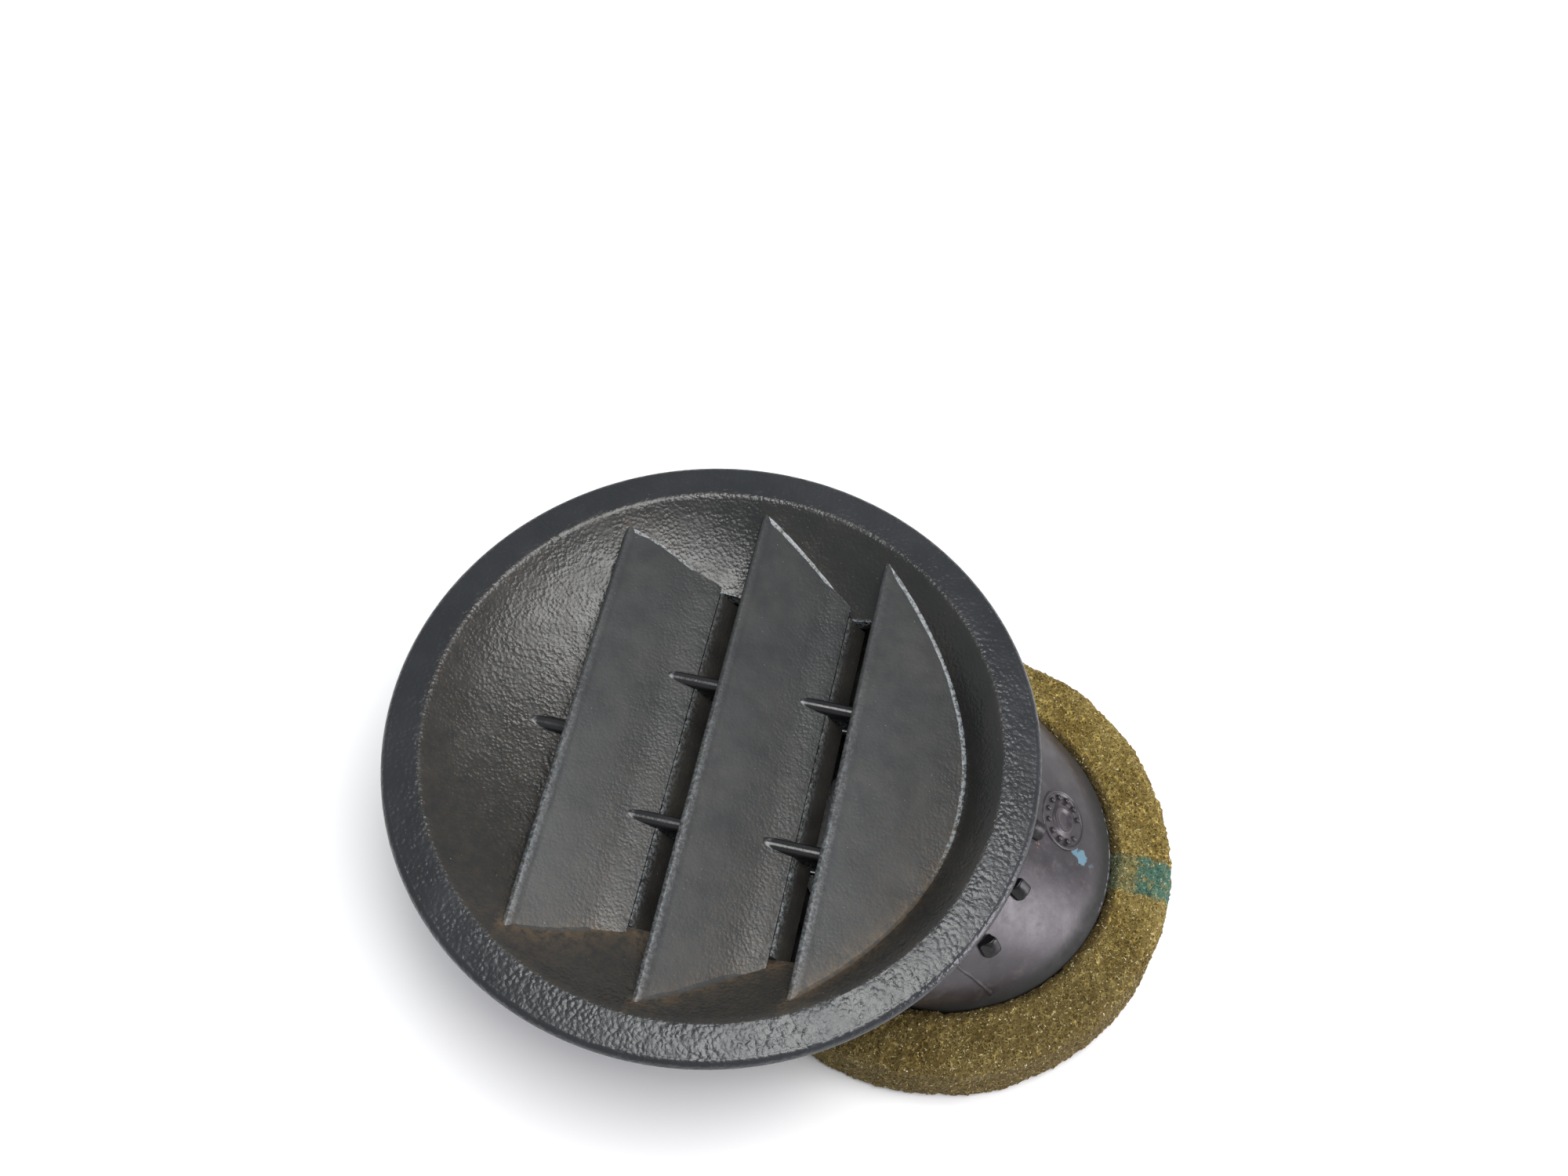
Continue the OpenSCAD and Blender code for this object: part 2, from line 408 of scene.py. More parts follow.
def smooth_plastic(name, dark, pale, rough, dabs=(), specular=0.5):
    """Near-black smooth moulded plastic with faint scuffs, painted shade where the shade mask is set and a
    painted highlight where the highlight mask is; dabs are specks of paint.
    """
    n = Nodes(name)
    colour = n.mix(n.span(n.noise(6, 3, 0.6), 0.3, 0.7), dark, pale)
    film = n.span(n.noise(1.6, 5, 0.72), 0.50, 0.80, 0.0, 0.30)
    colour = n.mix(film, colour, (0.13, 0.115, 0.10))
    stretch = n.add("ShaderNodeMapping")
    n.link(n.coords, stretch.inputs["Vector"])
    stretch.inputs["Rotation"].default_value = (0.2, 0.6, 0.5)
    stretch.inputs["Scale"].default_value = (0.12, 1.0, 1.0)
    scratches = n.ramp(n.noise(0.22, 3, 0.6, coords=stretch.outputs[0]), (0.68, 0.0), (0.75, 1.0))
    colour = n.mix(n.math("MULTIPLY", scratches, 0.2), colour, (0.22, 0.21, 0.21))
    # painted shade: darker where the shade mask is set, near the collar and on it
    painted_shade = n.math("MULTIPLY", n.mask("shade"), n.span(n.noise(2.2, 4, 0.65), 0.2, 0.6, 0.6, 1.0))
    colour = n.mix(painted_shade, colour, (0.010, 0.011, 0.009))
    # painted highlight: pale dashes where the highlight mask is set
    painted_highlight = n.math("MULTIPLY", n.mask("painted_highlight"), n.span(n.noise(1.1, 2, 0.6), 0.40, 0.50), clamp=True)
    colour = n.mix(painted_highlight, colour, (0.34, 0.36, 0.37))
    roughness = n.math("ADD", n.span(n.noise(2.5, 4, 0.7), 0.3, 0.7, rough, rough + 0.12),
                       n.math("ADD", n.math("MULTIPLY", film, 0.6), n.math("MULTIPLY", painted_shade, 0.40)))
    for point, radius, ragged, paint in dabs:
        edge = n.math("ADD", n.near(point), n.math("MULTIPLY", n.noise(0.7, 3, 0.6), ragged * MM))
        dab = n.span(edge, (radius + 0.5 * ragged) * MM, (radius + 0.35 * ragged) * MM)
        colour = n.mix(dab, colour, paint)
        roughness = n.math("ADD", roughness, n.math("MULTIPLY", dab, 0.15))
    ripple = n.bump(n.noise(4.5, 2, 0.5), 0.12, 0.6)
    pits = n.bump(n.noise(0.35, 3, 0.6), 0.010, 0.6, below=ripple)
    return n.finish(colour, roughness, pits, specular=specular)


def foam_material(name):
    """Open-cell foam: olive cell walls, pores darkened as painted shade, pale glints, painted shade towards
    the collar and -Y, and a painted band.
    """
    n = Nodes(name)
    bent = wander(n, 0.8, 0.35)
    walls = n.span(n.cells(0.62, "DISTANCE_TO_EDGE", bent), 0.03, 0.24, 1, 0)
    small = n.span(n.cells(0.33, "DISTANCE_TO_EDGE", bent), 0.02, 0.24, 1, 0)
    struts = n.math("MAXIMUM", n.math("MULTIPLY", walls, 0.8), n.math("MULTIPLY", small, 0.75))
    blotch = n.span(n.noise(0.55, 4, 0.7), 0.35, 0.65)
    tone = n.span(n.noise(5, 4, 0.6), 0.3, 0.7)
    wall = n.mix(tone, (0.560, 0.400, 0.095), (0.740, 0.570, 0.180))
    # pore colour: painted shade inside the open cells
    pore_shade = n.mix(tone, (0.050, 0.028, 0.005), (0.105, 0.066, 0.014))
    lit = n.math("MULTIPLY", struts, n.math("ADD", n.math("MULTIPLY", blotch, 0.75), 0.25))
    colour = n.mix(lit, pore_shade, wall)
    # painted shade: darker against the collar and towards -Y
    colour = n.mix(n.math("MULTIPLY", n.mask("foam_shade"), 0.75), colour, (0.040, 0.025, 0.010))
    stripe = n.math("MULTIPLY", n.mask("stripe"), n.span(n.noise(0.9, 4, 0.7), 0.28, 0.50), clamp=True)
    paint = n.mix(struts, (0.030, 0.100, 0.075), (0.095, 0.240, 0.185))
    colour = n.mix(n.math("MULTIPLY", stripe, 0.92), colour, paint)
    glint = n.ramp(n.noise(0.34, 2, 0.7), (0.63, 0.0), (0.67, 1.0))
    colour = n.mix(n.math("MULTIPLY", glint, 0.8), colour, (0.82, 0.72, 0.42))
    pits = n.bump(n.math("MULTIPLY", struts, blotch), 0.42, 1.0)
    normal = n.bump(n.noise(0.9, 4, 0.7), 0.3, 0.6, below=pits)
    return n.finish(colour, n.span(struts, 0, 1, 0.95, 0.65), normal, specular=0.2)


def floor_material():
    """Matt, almost white studio floor."""
    n = Nodes("pale_floor")
    colour = n.mix(n.noise(40, 3), (0.92, 0.92, 0.92), (0.94, 0.94, 0.94))
    return n.finish(colour, n.span(n.noise(15, 2), 0.3, 0.7, 0.75, 0.9), n.bump(n.noise(2, 3), 0.02, 0.3))


# ---- face -------------------------------------------------------------------
BEZEL = grained_plastic(
    "bezel_grain", (0.015, 0.017, 0.019), (0.021, 0.023, 0.026), grain_mm=0.50, depth_mm=0.080, rough=0.26,
    specks=0.25)
RIM = grained_plastic(
    "rim_smooth", (0.015, 0.017, 0.019), (0.021, 0.023, 0.026), grain_mm=0.50, depth_mm=0.070, rough=0.27,
    specks=0.2)
DISH = grained_plastic(
    "dish_grain", (0.013, 0.014, 0.014), (0.019, 0.019, 0.018), grain_mm=0.40, depth_mm=0.055, rough=0.27,
    specks=0.35, dust=0.06)
LOUVRE = grained_plastic(
    "louvre_grain", (0.022, 0.0235, 0.0245), (0.028, 0.029, 0.029), grain_mm=0.36, depth_mm=0.036,
    rough=0.35, specks=0.4, dust=0.10, coarse=True)
SLOT = grained_plastic(
    "slot_dark", (0.022, 0.022, 0.022), (0.036, 0.036, 0.034), grain_mm=0.40, depth_mm=0.04, rough=0.40,
    specks=0.4, dust=0.2)
# darker copy of the face plastic: painted shade for the ribs' shaded sides
RIB_SHADED = grained_plastic(
    "rib_painted_shade", (0.009, 0.009, 0.010), (0.014, 0.014, 0.015), grain_mm=0.5, depth_mm=0.010, rough=0.20,
    specks=0.15)


def make_bezel():
    """Flat flange ring; its skin starts on the crest and laps over the rim."""
    section = [(DISH_RIM_R, 0.0), (DISH_RIM_R, 0.5), (SEAM_R - 0.25, 0.9), (SEAM_R - 0.05, 1.4)]
    outer = BAND_R + BEZEL_LAP
    for k in range(15):
        r = mix(SEAM_R, outer, k / 14)
        section.append((r, crest_z(r, 0)))
    section += [(outer, crest_z(outer, 0) - 0.08), (BAND_R, EDGE_T - 0.2), (BAND_R, 0.0), (31.6, 0.0)]
    return lathe("bezel_ring_shell", section, BEZEL, replaces=["bezel_ring"])


def make_rim():
    """Rounded band that carries on the bezel's slope and rolls over the edge."""
    reach = FLANGE_R - RIM_UNDER_R
    section = [(BAND_R, 0.3)]
    for k in range(7):
        a = math.radians(70 - 70 * k / 6)
        section.append((RIM_UNDER_R + reach * math.cos(a), RIM_UNDER_Z - RIM_UNDER_Z * math.sin(a)))
    centre = FLANGE_R - RIM_ROUND
    crown = math.radians(80)
    level = crest_z(centre + RIM_ROUND * math.cos(crown), 0) - RIM_ROUND * math.sin(crown)
    section += arc(centre, level, RIM_ROUND, 12, 80, 8)
    outer = BAND_R + BEZEL_LAP
    section += [(outer, crest_z(outer, 0) - 0.01), (BAND_R, EDGE_T - 0.1)]
    return lathe("rim_edge_band", section, RIM, replaces=["rim_edge"])


def slot_outline(a):
    """Plan radius of the opening in the dish, in the direction a."""
    reach = SLOT_R
    if math.cos(a) < -1e-6:
        reach = min(reach, SLOT_X / math.cos(a))
    if abs(math.sin(a)) > 1e-6:
        reach = min(reach, SLOT_Y / abs(math.sin(a)))
    return reach


def make_dish():
    """The bowl from the crest to the opening, as a closed shell."""
    turns, steps = 420, 34
    points, dust, painted_highlight = [], [], []
    for k in range(turns):
        a = 2 * math.pi * k / turns
        inner = slot_outline(a)
        reach = [mix(SEAM_R, DISH_RIM_R, s / 10) for s in range(10)]
        reach += [mix(DISH_RIM_R, inner, s / steps) for s in range(steps + 1)]
        loop = [(r, 0.0) for r in reach] + [(r, DISH_T) for r in reversed(reach)]
        for r, drop in loop:
            x, y = r * math.cos(a), r * math.sin(a)
            points.append(place(x, y, crest_z(x, y) - drop))
            low = smooth_step(0.9, -0.35, math.sin(a + 0.5))
            dust.append(math.exp(-abs(arc_gap(x, y)) / 1.3) * (0.1 + 0.9 * low) + 0.18 * low)
            # painted highlight along the opening's edge at its upper end
            painted_highlight.append(1.6 * smooth_step(inner + 0.4, inner, r) * smooth_step(12, 18, y))
        rows = len(loop)
    faces = grid_faces(turns, rows, True, True)
    return build("dish_bowl", points, faces, DISH, sharp=50, replaces=["dish"],
                 masks={"dust": dust, "painted_highlight": painted_highlight})


def arc_gap(x, y):
    """How far a plan point lies outside the nearest louvre's end, in millimetres."""
    best = 9.0
    for i in range(3):
        if front_x(i) - 0.5 < x < foot_x(i) + 3:
            z = face_z(i, min(x, foot_x(i)))
            best = min(best, abs(CREST_Z - bowl_depth(x, y) - z) / 0.45)
    return best


def louvre_section(i):
    """Closed section of a louvre as (x, z, highlight weight): under side, round front edge, top; the weight
    is for a painted highlight on the front edge.
    """
    x0, x1 = front_x(i), foot_x(i)
    steps = 26
    under = [mix(x1, x0 + 0.7, k / 8) for k in range(9)]
    section = [(x, under_z(i, x), 0.0) for x in under]
    section += [(x0 + 0.25, under_z(i, x0) + 0.05, 0.2), (x0 + 0.06, under_z(i, x0) + 0.3, 0.4)]
    section += [(x, z, 1.0) for x, z in arc(x0 + 0.45, EDGE_Z[i] - 0.5, 0.45, 180, 78, 6)]
    for k in range(1, steps + 1):
        x = mix(x0 + 0.7, x1, k / steps)
        lift = 0.0 if i == LAST else 0.32 * smooth_step(x1 - CURL, x1, x) ** 1.5
        section.append((x, face_z(i, x) + lift, math.exp(-(x - x0 - 0.4) / 0.35)))
    return section


def on_bowl(d, angle):
    """Point of the bowl's wall at a depth below the crest, in a plan direction."""
    return Vector((bowl_c(d) + bowl_r(d) * math.cos(angle), bowl_r(d) * math.sin(angle), CREST_Z - d))


def bowl_point(i, angle):
    """Where the face of louvre i meets the bowl, in the plan direction of an angle."""
    low, high = 0.0, BOWL_DEEPEST
    for _ in range(HALVINGS):
        d = (low + high) / 2
        x = bowl_c(d) + bowl_r(d) * math.cos(angle)
        if CREST_Z - d > face_z(i, x):
            low = d
        else:
            high = d
    return on_bowl(low, angle)


def angle_at(i, x):
    """Plan angle, on the +Y side, at which louvre i meets the bowl at a given X."""
    low, high = 0.0, math.pi
    for _ in range(HALVINGS):
        mid = (low + high) / 2
        if bowl_point(i, mid).x > x:
            low = mid
        else:
            high = mid
    return low


def fillet(i, start, end, count):
    """Narrow concave strip along the joint of louvre and bowl: points, painted highlight weights, faces."""
    plane = Vector((SLOPES[i], 0, 1)).normalized()
    middle = Vector((front_x(i) + 4, 0, face_z(i, front_x(i) + 4)))
    widest, highlight_gain = (0.48, 2.2) if i == LAST else (0.60, 3.6)
    points, highlight_weight = [], []
    for k in range(count + 1):
        angle = mix(start, end, k / count)
        p = bowl_point(i, angle)
        along = (bowl_point(i, angle + 0.004) - bowl_point(i, angle - 0.004)).normalized()
        inward = plane.cross(along)
        if inward.dot(middle - p) < 0:
            inward = -inward
        above = on_bowl(CREST_Z - p.z - 0.2, angle)
        upward = above - p
        upward = (upward - along * upward.dot(along)).normalized()
        size = widest * (1 + 0.2 * noise.noise(p * 0.9))
        for step in range(7):
            t = step / 6
            q = p + inward * size * (1 - t) ** 2 + upward * size * 0.8 * t * t
            sink = 0.03 if step in (0, 6) else 0.0
            points.append(place(q.x, q.y, q.z - sink))
            inside = 1.0 if 0 < step < 6 else 0.0
            # painted highlight along the joint, on the upper end only
            highlight_weight.append(inside * smooth_step(-13, 2, p.y) * highlight_gain)
    return points, highlight_weight, grid_faces(count + 1, 7)


def across_samples(half):
    """Positions across a louvre, close together near its two ends."""
    wide = [mix(0.0, half - 2.0, k / 30) for k in range(31)]
    tight = [half - 2.0 + 2.25 * k / 12 for k in range(1, 13)]
    side = wide + tight
    return [-y for y in reversed(side[1:])] + side


def make_louvre(i):
    """A blade whose ends run into the bowl, with a small fillet there."""
    points, dust, painted_highlight, coarse = [], [], [], []
    rim_dust, face_dust = (2.2, 0.55) if i == LAST else (0.6, 0.25)
    for x, z, highlight_weight in louvre_section(i):
        d = CREST_Z - z
        half = max(2.2, math.sqrt(max(0.04, bowl_r(d) ** 2 - (x - bowl_c(d)) ** 2)))
        foot = smooth_step(foot_x(i) - 0.7, foot_x(i), x) if i < LAST else 0.0
        samples = across_samples(half)
        for y in samples:
            ridge = 0.08 * foot * noise.noise(Vector((i * 7.1, y * 1.1, 0)))
            wave = 0.05 * noise.noise(Vector((x * 0.12, y * 0.1, i * 3.3))) if z > under_z(i, x) + 1 else 0
            points.append(place(x, y, z + ridge + wave))
            rim = math.exp(-abs(half - abs(y)) / 1.3)
            low = smooth_step(14, -24, y)
            spread = smooth_step(front_x(i), foot_x(i), x)
            dust.append(rim_dust * rim * low + face_dust * low * spread)
            # painted highlight on the front edge, stronger towards -Y, and on the foot's ridge
            painted_highlight.append(highlight_weight * (0.08 + 0.45 * smooth_step(14, -10, y)) + 0.45 * foot * low)
            coarse.append(smooth_step(foot_x(i) - 8.0, foot_x(i) - 2.0, x))
    rows, columns = len(louvre_section(i)), len(samples)
    faces = grid_faces(rows, columns, True, False)
    faces.append(tuple(r * columns for r in range(rows)))
    faces.append(tuple(r * columns + columns - 1 for r in reversed(range(rows))))
    start, end = angle_at(i, foot_x(i) + 0.02), angle_at(i, front_x(i) + 0.5)
    spans = [(-end, end, 160)] if i == LAST else [(start, end, 60), (-start, -end, 60)]
    for first, last, count in spans:
        strip, highlight_weight, strip_faces = fillet(i, first, last, count)
        faces += [tuple(len(points) + v for v in f) for f in strip_faces]
        points += strip
        dust += [0.9 * smooth_step(8, -6, (p - FACE).y / MM) if i == LAST else 0.12 for p in strip]
        painted_highlight += highlight_weight
        coarse += [0.3] * len(strip)
    return build(f"louvre_{i + 1}_blade", points, faces, LOUVRE, sharp=42, replaces=[f"louvre_{i + 1}"],
                 masks={"dust": dust, "painted_highlight": painted_highlight, "coarse": coarse})


def make_foot(i):
    """Down-turned lip below a louvre's foot, with an uneven crest that carries a painted highlight."""
    x1 = foot_x(i)
    z1 = face_z(i, x1)
    section = [(x1, z1 - 1.6), (x1, z1 - 0.5), (x1, z1 + 0.1), (x1 + 0.12, z1 + 0.3), (x1 + 0.3, z1 + 0.22)]
    section += [(x1 + 0.55, z1 - 0.25), (x1 + 0.95, z1 - 0.85), (x1 + 1.5, z1 - 1.6)]
    section += [(x1 + out, z1 - FOOT_DROP) for out in (2.1, 0.9, 0.3)]
    half = SLOT_Y - 0.1
    across = 150
    points, painted_highlight = [], []
    for x, z in section:
        top = smooth_step(z1 - 0.6, z1 + 0.2, z)
        for k in range(across + 1):
            y = mix(-half, half, k / across)
            rough = noise.noise(Vector((y * 1.7, i * 5.0, x)))
            rough += 0.5 * noise.noise(Vector((y * 4.5, i * 9.0, x)))
            points.append(place(x + 0.10 * rough * top, y, z + 0.09 * rough * top))
            # painted highlight on the crest, stronger towards -Y
            painted_highlight.append(top * (0.45 + 0.7 * smooth_step(14, -20, y)))
    rows, columns = len(section), across + 1
    faces = grid_faces(rows, columns, True, False)
    faces.append(tuple(r * columns for r in range(rows)))
    faces.append(tuple(r * columns + across for r in reversed(range(rows))))
    return build(f"louvre_{i + 1}_lip", points, faces, SLOT, sharp=60, replaces=[f"louvre_{i + 1}_foot"],
                 masks={"painted_highlight": painted_highlight, "dust": [0.10] * len(points)})


# ---- ribs -------------------------------------------------------------------
def floor_at(i, x):
    """Height of the surface that a rib between louvres i and i + 1 stands on."""
    foot = foot_x(i)
    if x <= foot:
        return face_z(i, x) + 0.25 * smooth_step(foot - CURL, foot, x) ** 1.5
    if x <= foot + 1.5:
        return mix(face_z(i, foot) + 0.2, face_z(i, foot) - FOOT_DROP, (x - foot) / 1.5)
    return SLOT_FLOOR


def rib_across():
    """Positions across a rib: skirt, wall and a half-round top, then mirrored."""
    top = [RIB_T / 2 * math.sin(math.radians(7.5 * k)) for k in range(0, 13)]
    side = top + [RIB_T / 2 + 0.015, RIB_T / 2 + 0.08, RIB_T / 2 + 0.17, RIB_T / 2 + 0.28]
    return [-y for y in reversed(side[1:])] + side


def make_rib(name, y0, tip, end, top_z, ground):
    """A boat-shaped rib that rises out of the surface it stands on."""
    stations = [tip - 0.5 + 0.1 * k for k in range(36)]
    stations += [x for x in (tip + 3.3 + 0.25 * k for k in range(60)) if x < end]
    across = rib_across()
    points, painted_highlight = [], []
    for x in stations:
        base = ground(x, y0)
        tall = top_z - base
        for y in across:
            dome = top_z - RIB_T / 2 + math.sqrt(max(0.0, RIB_T ** 2 / 4 - y * y))
            if abs(y) <= RIB_T / 2:
                z = soft_max(base - 0.02, dome, 0.04)
            else:
                skirt = math.exp(-(abs(y) - RIB_T / 2) / 0.09)
                z = base - 0.03 + 0.16 * smooth_step(0.0, 0.6, tall) * skirt
            points.append(place(x, y0 + y, z))
            # painted highlight at the rib's tip and along its foot
            edge = smooth_step(tip + 0.5, tip - 0.1, x) * smooth_step(-0.05, 0.05, dome - base)
            side = smooth_step(RIB_T / 2 + 0.12, RIB_T / 2, abs(y)) * (abs(y) > RIB_T / 2)
            painted_highlight.append(0.8 * edge + 0.4 * side)
        for y in reversed(across):
            points.append(place(x, y0 + y, base - 0.7))
            painted_highlight.append(0.0)
    rows, columns = len(stations), 2 * len(across)
    faces = grid_faces(rows, columns, False, True)
    faces.append(tuple(range(columns)))
    faces.append(tuple((rows - 1) * columns + c for c in reversed(range(columns))))
    return build(f"{name}_plate", points, faces, RIB_SHADED, sharp=50, replaces=[name],
                 masks={"painted_highlight": painted_highlight, "dust": [0.05] * len(points)})


def make_ribs():
    """One rib from the bowl to louvre 1, and two from each louvre to the next."""
    def bowl_floor(x, y):
        return crest_z(x, y) if x < SLOT_X else SLOT_FLOOR

    make_rib("rib_1", 0.0, RIB_1_TIP, -10.5, RIB_1_TOP, bowl_floor)
    for i, stem in ((0, "rib_2"), (1, "rib_3")):
        def louvre_floor(x, _, i=i):
            return floor_at(i, x)

        tip = foot_x(i) - 2.8
        for side, y in (("upper", RIB_Y), ("lower", -RIB_Y)):
            make_rib(f"{stem}_{side}", y, tip, foot_x(i) + 7.6, face_z(i, tip) + 0.08, louvre_floor)


# ---- duct -------------------------------------------------------------------
def barrel_point(a, t):
    """Skin of the duct: a Bezier from the neck ring, over the shoulder, to the collar."""
    left = smooth_step(0.35, 1.0, (1 - math.cos(a)) / 2)
    c, s = math.cos(a), math.sin(a)
    start = Vector((NECK_R * c, NECK_R * s, NECK_TOP))
    brink = Vector((MOUTH_X + SHOULDER_R * c, SHOULDER_R * s, COLLAR_TOP))
    bend = Vector((MOUTH_X + (COLLAR_R - 0.1) * c, (COLLAR_R - 0.1) * s, SHOULDER_Z + 0.85))
    end = Vector((MOUTH_X + COLLAR_R * c, COLLAR_R * s, SHOULDER_Z - 0.05))
    one = start.lerp(brink, 0.75).lerp(Vector((-2 + 27.5 * c, 27.5 * s, -7.5)), left)
    two = bend.lerp(Vector((-3 + 24.5 * c, 24.5 * s, -10.8)), left)
    u = 1 - t
    return start * u ** 3 + one * 3 * u * u * t + two * 3 * u * t * t + end * t ** 3


def make_barrel(material):
    """The duct's skin with its wall inside; shade darkens it towards the collar."""
    turns, steps = 320, 60
    points, shade = [], []
    for k in range(turns):
        a = 2 * math.pi * k / turns
        points += [place(*barrel_point(a, s / steps)) for s in range(steps + 1)]
        shade += [smooth_step(0.58, 0.78, s / steps) for s in range(steps + 1)]
    barrel = build("duct_barrel_shell", points, grid_faces(turns, steps + 1, True, False), material,
                   sharp=60, replaces=["duct_barrel"], masks={"shade": shade})
    wall = barrel.modifiers.new("wall", "SOLIDIFY")
    wall.thickness = BARREL_WALL * MM
    wall.offset = -1
    return barrel


def shoulder(t):
    """The rounded shoulder, from the collar's wall at t = 0 to the duct's skin at 1."""
    r = COLLAR_R * (1 - t) ** 2 + 2 * COLLAR_R * t * (1 - t) + SHOULDER_R * t * t
    z = SHOULDER_Z * (1 - t) ** 2 + 2 * (COLLAR_TOP - SHOULDER_PULL) * t * (1 - t) + COLLAR_TOP * t * t
    return r, z


def make_collar(material):
    """Round mouth; a thin, chipped mould line runs along part of its shoulder and carries a painted
    highlight, and the whole collar carries painted shade.
    """
    skin = [(COLLAR_R, COLLAR_BOTTOM), (COLLAR_R, SHOULDER_Z - 0.6), (COLLAR_R - 0.03, SHOULDER_Z)]
    skin += [(r - 0.07, z - 0.07) for r, z in (shoulder(k / 24) for k in range(1, 25))]
    section = skin + [(BORE_R + 0.3, COLLAR_TOP), (BORE_R, COLLAR_TOP - 0.3), (BORE_R, COLLAR_BOTTOM + 0.3),
                      (BORE_R + 0.3, COLLAR_BOTTOM)]
    line_r, line_z = shoulder(0.26)
    turns = 360
    points, painted_highlight = [], []
    for k in range(turns):
        a = 2 * math.pi * k / turns
        swing = math.degrees(a if a < math.pi else a - 2 * math.pi)
        reach = smooth_step(-17, -12, swing) * smooth_step(31, 24, swing)
        for r, z in section:
            away = (r - line_r) ** 2 + (z - line_z) ** 2
            near = math.exp(-(away / 0.012)) * reach if r > SHOULDER_R else 0.0
            chips = noise.noise(Vector((a * 40, 0.3, 0)))
            chip = near * (0.6 + 0.8 * chips)
            push = 0.20 * max(0.0, chip)
            points.append(place(MOUTH_X + (r + push) * math.cos(a), (r + push) * math.sin(a), z + push))
            # painted highlight: pale dashes along the mould line
            painted_highlight.append(near * smooth_step(-0.12, 0.05, chips))
    faces = grid_faces(turns, len(section), True, True)
    # painted shade over the whole collar
    return build("duct_collar_ring", points, faces, material, sharp=50, replaces=["duct_collar"],
                 masks={"painted_highlight": painted_highlight, "shade": [1.0] * len(points)})


class Skin:
    """Finds the duct's outer surface under a plan point."""

    def __init__(self, *objects):
        points, faces = [], []
        for obj in objects:
            base = len(points)
            points += [v.co.copy() for v in obj.data.vertices]
            faces += [tuple(base + v for v in p.vertices) for p in obj.data.polygons]
        self.tree = BVHTree.FromPolygons(points, faces)

    def at(self, x, y):
        """Point and outward normal of the skin below (x, y), in metres."""
        hit, normal, _, _ = self.tree.ray_cast(place(x, y, 3), Vector((0, 0, -1)))
        if hit is None:
            raise ValueError(f"no duct skin under {x:.2f}, {y:.2f}")
        if normal.z < 0:
            normal = -normal
        return hit, normal


def on_skin(skin, x, y, spin=0.0):
    """Matrix that stands a small piece on the duct with its Z outwards."""
    hit, normal = skin.at(x, y)
    side = Vector((0, 1, 0)).cross(normal).normalized()
    axes = Matrix((side, normal.cross(side), normal)).transposed()
    return Matrix.Translation(hit) @ (axes @ Matrix.Rotation(spin, 3, "Z")).to_4x4()


def make_teeth(skin, material):
    """Three blunt teeth, rounded at the edges, each with a ramp on its -Y side."""
    points, faces = [], []
    levels = [(1.06, -0.6), (1.03, 0.0), (1.0, 0.3), (1.0, 0.75), (0.97, 0.95), (0.88, 1.07)]
    levels += [(0.72, TOOTH_TOP), (0.3, TOOTH_TOP)]
    corners = 28
    for degrees in TOOTH_ANGLES:
        a = math.radians(degrees)
        here = on_skin(skin, TOOTH_R * math.cos(a), TOOTH_R * math.sin(a), a)
        base = len(points)
        for grow, height in levels:
            for k in range(corners):
                t = 2 * math.pi * k / corners
                u = math.copysign(abs(math.cos(t)) ** 0.32, math.cos(t)) * 0.95 * grow
                v = math.copysign(abs(math.sin(t)) ** 0.32, math.sin(t)) * 0.95 * grow
                ramp = max(0.0, -0.15 - v)
                points.append(here @ (Vector((u, v, min(height, TOOTH_TOP - 0.95 * ramp))) * MM))
        local = grid_faces(len(levels), corners, False, True)
        local.append(tuple((len(levels) - 1) * corners + c for c in range(corners)))
        faces += [tuple(base + v for v in f) for f in local]
    return build("snap_teeth_set", points, faces, material, sharp=55, replaces=["snap_teeth"],
                 masks={"painted_highlight": [0.0] * len(points)})


def make_stamp(skin, material):
    """Plain round mould mark: a raised ring, a plain hub and a circle of dots."""
    turns = 72
    section = [(3.45, -0.45), (3.45, 0.12), (3.35, 0.20), (3.15, 0.20), (3.02, 0.10), (2.95, 0.02)]
    section += [(1.75, 0.02), (1.62, 0.16), (1.40, 0.22), (1.15, 0.18), (1.0, 0.03), (0.45, 0.02)]
    section += [(0.0, 0.02)]
    here = on_skin(skin, *STAMP_XY)
    points = []
    for k in range(turns):
        t = 2 * math.pi * k / turns
        for r, h in section:
            x, y = r * math.cos(t), r * math.sin(t)
            hollow = -(r / STAMP_R) ** 2 * 0.12
            points.append(here @ Vector((x * MM, y * MM, (h + hollow) * MM)))
    faces = grid_faces(turns, len(section), True, False)
    for k in range(11):
        t = 2 * math.pi * k / 12 + 0.4
        centre = Vector((DOT_RING_R * math.cos(t), DOT_RING_R * math.sin(t), 0))
        base = len(points)
        for share, height in ((1.0, -0.2), (0.9, 0.16), (0.5, 0.28)):
            for j in range(10):
                u = 2 * math.pi * j / 10
                p = centre + Vector((DOT_R * share * math.cos(u), DOT_R * share * math.sin(u), height))
                points.append(here @ (p * MM))
        local = grid_faces(3, 10, False, True) + [tuple(20 + j for j in range(10))]
        faces += [tuple(base + v for v in f) for f in local]
    return build("date_stamp_disc", points, faces, material, sharp=60, replaces=["date_stamp"])


def make_bead(skin, material):
    """Thin raised parting line along one side of the duct."""
    points = []
    steps = 40
    for k in range(steps + 1):
        x = mix(*BEAD_X, k / steps)
        y = BEAD_Y + 0.06 * noise.noise(Vector((x, 0, 0)))
        high = 0.16 * (1 + 0.35 * noise.noise(Vector((x * 1.3, 4, 0))))
        for across, up in ((-0.22, -0.1), (-0.08, high), (0.08, high), (0.22, -0.1)):
            hit, normal = skin.at(x, y + across)
            points.append(hit + normal * up * MM)
    return build("parting_bead_line", points, grid_faces(steps + 1, 4), material, sharp=60,
                 replaces=["parting_bead"])


